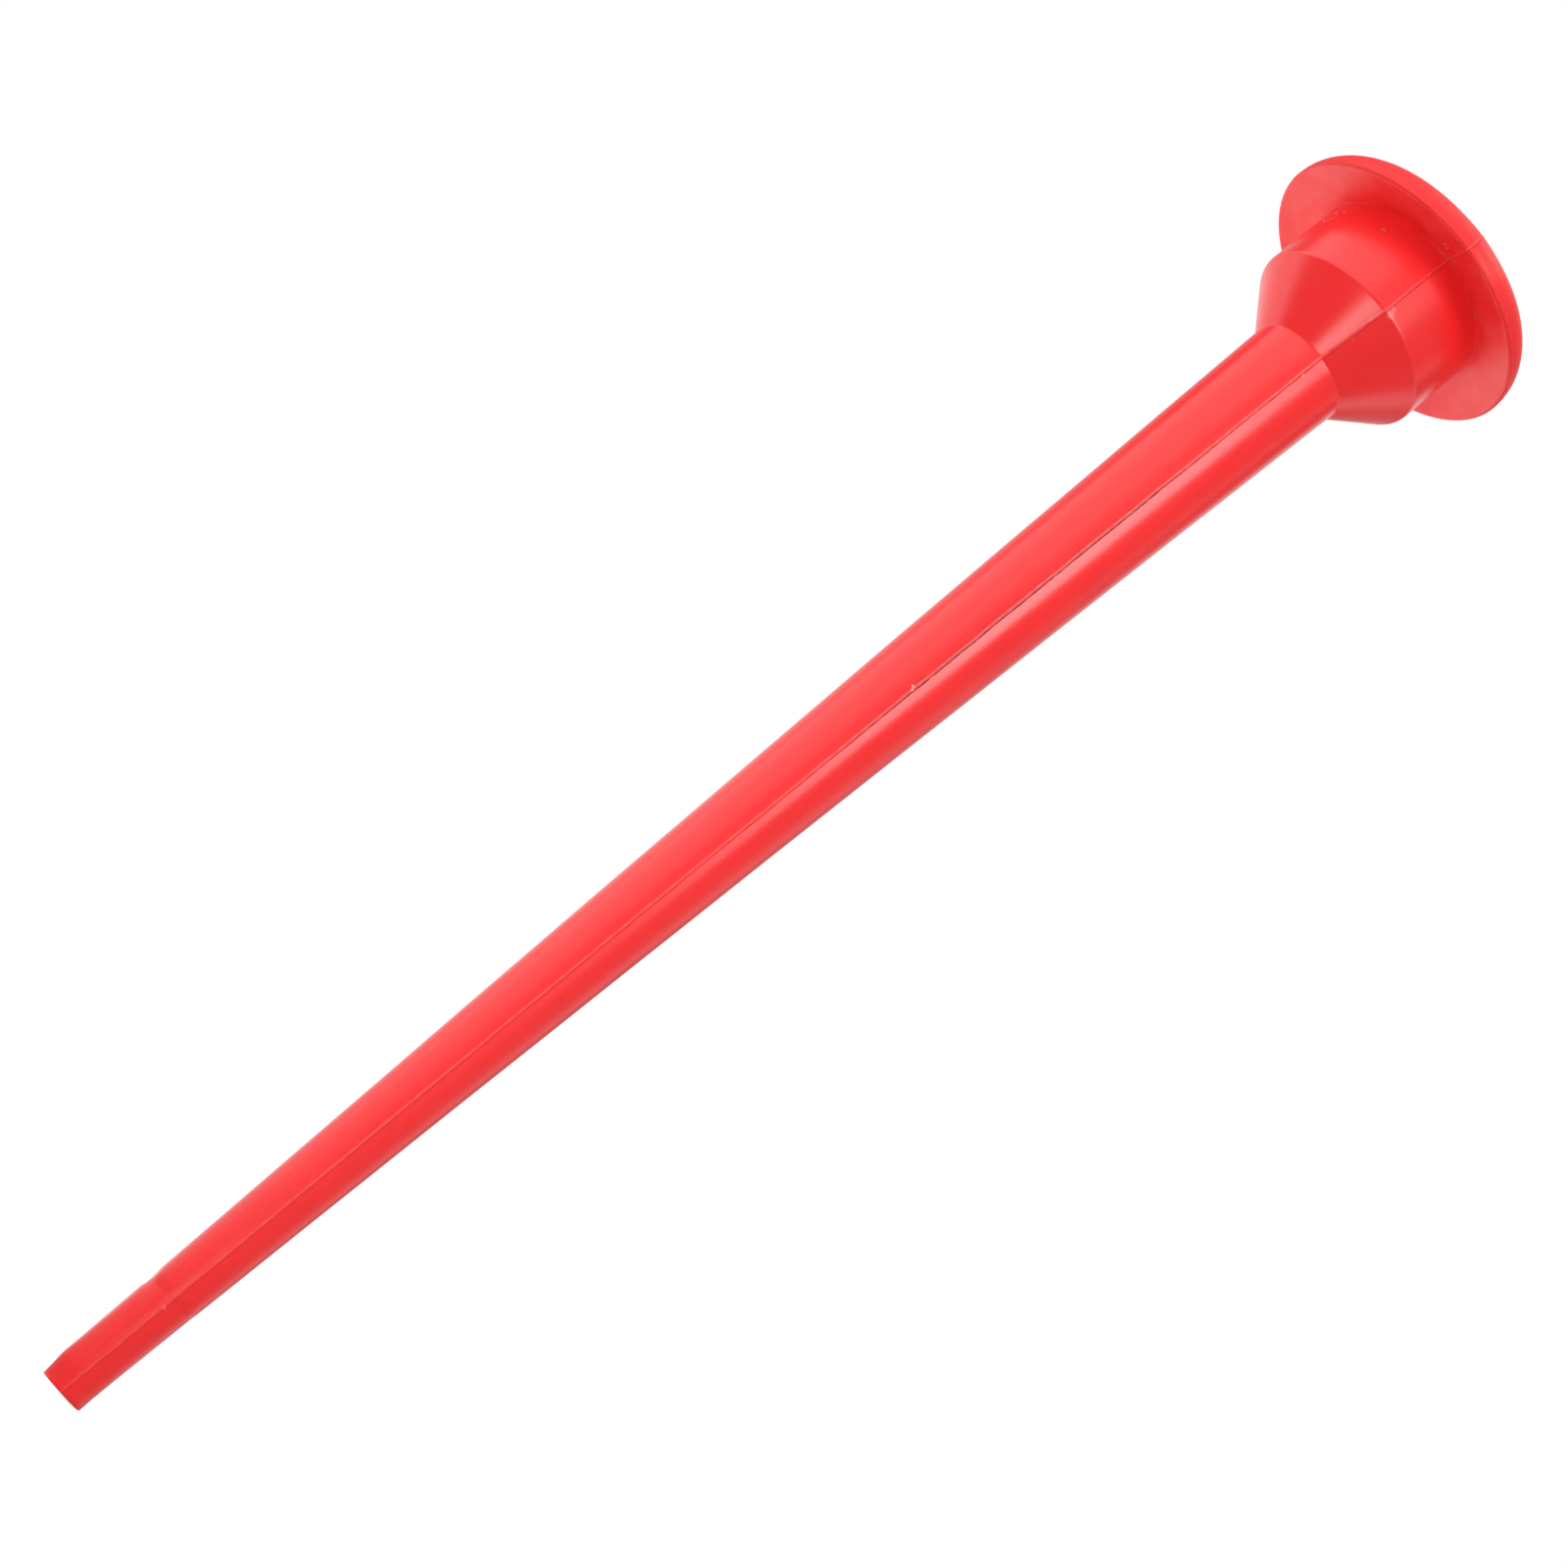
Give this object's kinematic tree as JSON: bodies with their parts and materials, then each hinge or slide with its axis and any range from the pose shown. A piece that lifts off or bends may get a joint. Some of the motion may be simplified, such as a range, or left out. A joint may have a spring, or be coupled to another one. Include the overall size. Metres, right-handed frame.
{
  "type": "funnel",
  "caption": "Long-neck filling funnel: wide shallow mouth with a curled rim, short round bowl, and a long tapered stem with a straight spout tip.",
  "frame": {"origin": "centre of the spout's open end", "axes": "+Z along the funnel's axis, from the spout's open end to the mouth; the moulding's parting plane is the YZ plane"},
  "size_m": [0.0838, 0.0838, 0.458],
  "materials": {
    "red_plastic": "satin moulded polyethylene"
  },
  "bodies": {
    "root": {"spout_tip": "red_plastic", "stem": "red_plastic", "shoulder": "red_plastic", "bowl": "red_plastic", "brim": "red_plastic", "rim": "red_plastic"}
  },
  "joints": []
}
